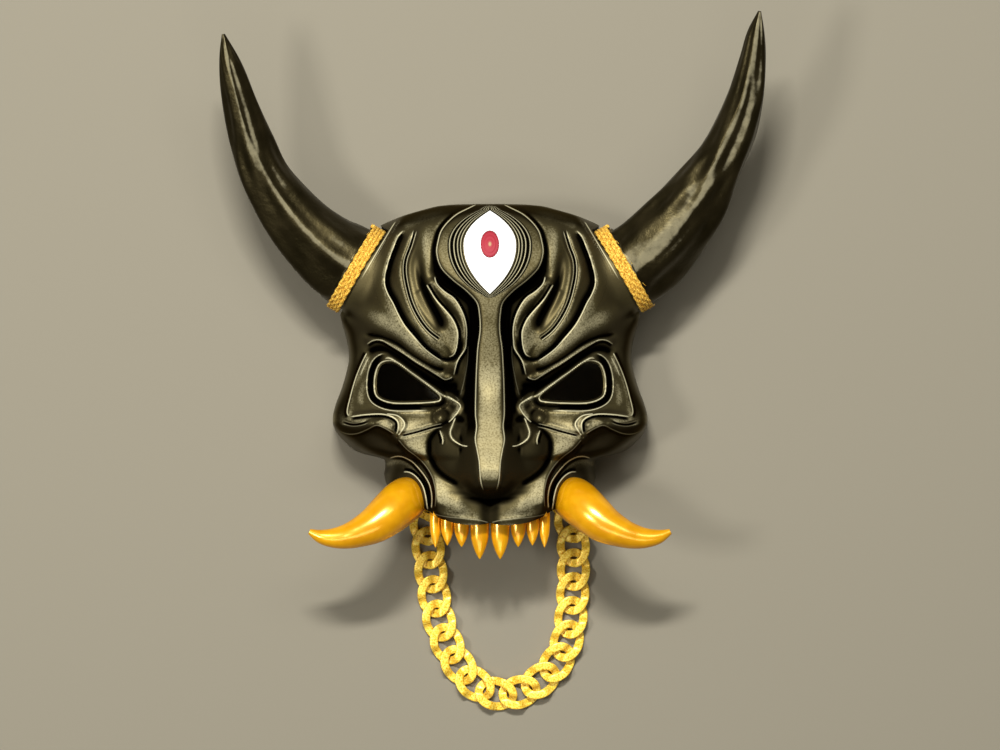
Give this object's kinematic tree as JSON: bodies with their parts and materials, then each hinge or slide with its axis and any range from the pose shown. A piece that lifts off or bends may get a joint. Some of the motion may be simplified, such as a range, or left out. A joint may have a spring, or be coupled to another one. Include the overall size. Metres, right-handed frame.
{
  "type": "oni mask",
  "caption": "Horned demon half mask in satin black with gold tusks and fangs, a white and red third eye, twine collars and a gold chain under the chin.",
  "frame": {"origin": "under the middle of the whole object, on the ground the mask lies on", "axes": "+X is the viewer's right, +Y runs up the face towards the horns, +Z points out of the face"},
  "size_m": [0.2984, 0.3842, 0.1006],
  "materials": {
    "black_paint": "satin black paint",
    "gold_paint": "satin gold paint",
    "chain_metal": "mottled gold plating",
    "white_paint": "matt white paint",
    "red_paint": "matt red paint",
    "twine": "golden jute twine"
  },
  "bodies": {
    "root": {"mask_shell": "black_paint", "horn_left": "black_paint", "horn_right": "black_paint", "twine_left": "twine", "twine_right": "twine", "tusk_left": "gold_paint", "tusk_right": "gold_paint", "upper_teeth": "gold_paint", "third_eye_white": "white_paint", "third_eye_pupil": "red_paint", "chain_link_01": "chain_metal", "chain_link_02": "chain_metal", "chain_link_03": "chain_metal", "chain_link_04": "chain_metal", "chain_link_05": "chain_metal", "chain_link_06": "chain_metal", "chain_link_07": "chain_metal", "chain_link_08": "chain_metal", "chain_link_09": "chain_metal", "chain_link_10": "chain_metal", "chain_link_11": "chain_metal", "chain_link_12": "chain_metal", "chain_link_13": "chain_metal", "chain_link_14": "chain_metal", "chain_link_15": "chain_metal", "chain_link_16": "chain_metal", "chain_link_17": "chain_metal", "chain_link_18": "chain_metal", "chain_link_19": "chain_metal", "chain_link_20": "chain_metal", "chain_link_21": "chain_metal", "chain_link_22": "chain_metal", "chain_link_23": "chain_metal", "chain_link_24": "chain_metal", "chain_link_25": "chain_metal", "chain_link_26": "chain_metal"}
  },
  "joints": []
}
